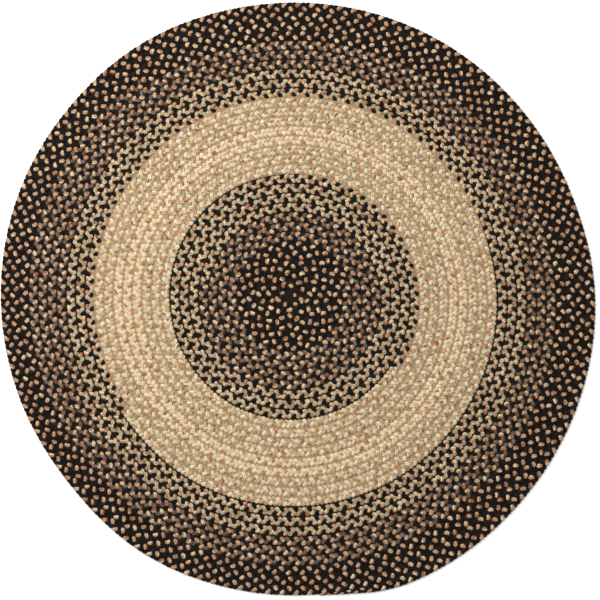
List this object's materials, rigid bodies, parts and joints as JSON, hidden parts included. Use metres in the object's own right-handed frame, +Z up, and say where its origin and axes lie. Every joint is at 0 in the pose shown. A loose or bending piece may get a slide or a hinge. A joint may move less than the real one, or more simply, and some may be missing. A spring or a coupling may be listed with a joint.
{
  "type": "braided rug",
  "caption": "Round flat rug coiled from one long braid of yarn, with dark, brown and cream bands and a tapered outer end.",
  "frame": {"origin": "middle of the rug's box, on its underside", "axes": "+Z up out of the face, +Y away from the tapered outer end, +X to the right of it"},
  "size_m": [1.8282, 1.824, 0.011],
  "materials": {
    "braided_yarn": "matte mixed dark and light yarns",
    "black_yarn": "matte spun yarn, nearly black",
    "tan_yarn": "matte spun yarn, space dyed tan, cream and rust",
    "brown_yarn": "matte spun yarn, heathered brown grey",
    "sage_yarn": "matte spun yarn, heathered sage and cream",
    "cream_yarn": "matte spun yarn, cream"
  },
  "bodies": {
    "root": {"braided_rug": "braided_yarn"}
  },
  "joints": []
}
